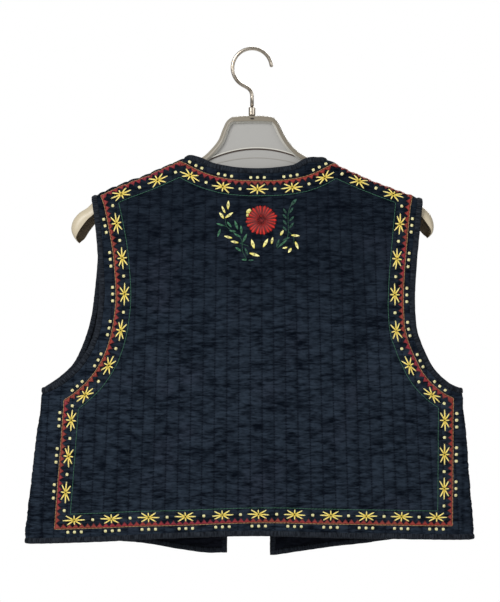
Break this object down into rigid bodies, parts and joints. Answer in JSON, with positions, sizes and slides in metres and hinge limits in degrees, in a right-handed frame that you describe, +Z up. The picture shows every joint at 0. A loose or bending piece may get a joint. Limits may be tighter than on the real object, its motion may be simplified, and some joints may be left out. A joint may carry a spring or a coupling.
{
  "type": "embroidered vest on a hanger",
  "caption": "Sleeveless quilted vest with bound edges and an embroidered border, hung flat on a plastic hanger with a wire hook.",
  "frame": {"origin": "underside of the hook's crown, on the middle of the wire, where a rail carries the hanger", "axes": "+Z up; -Y out of the vest's back, the embroidered face that is shown; +Y out of the open fronts; +X to the right seen from the back"},
  "size_m": [0.5187, 0.0484, 0.5839],
  "materials": {
    "quilted_cotton": "matt woven cotton, quilted",
    "bias_binding": "matt woven cotton, cut on the bias",
    "embroidery_thread": "stranded cotton thread with a soft sheen",
    "hanger_plastic": "satin moulded plastic",
    "hook_metal": "satin wire"
  },
  "bodies": {
    "root": {"back_panel": "quilted_cotton", "front_left": "quilted_cotton", "front_right": "quilted_cotton", "neck_front_binding": "bias_binding", "armhole_binding_left": "bias_binding", "armhole_binding_right": "bias_binding", "hem_binding": "bias_binding", "hanger_body": "hanger_plastic", "hanger_ferrule": "hook_metal", "hanger_hook": "hook_metal"}
  },
  "joints": []
}
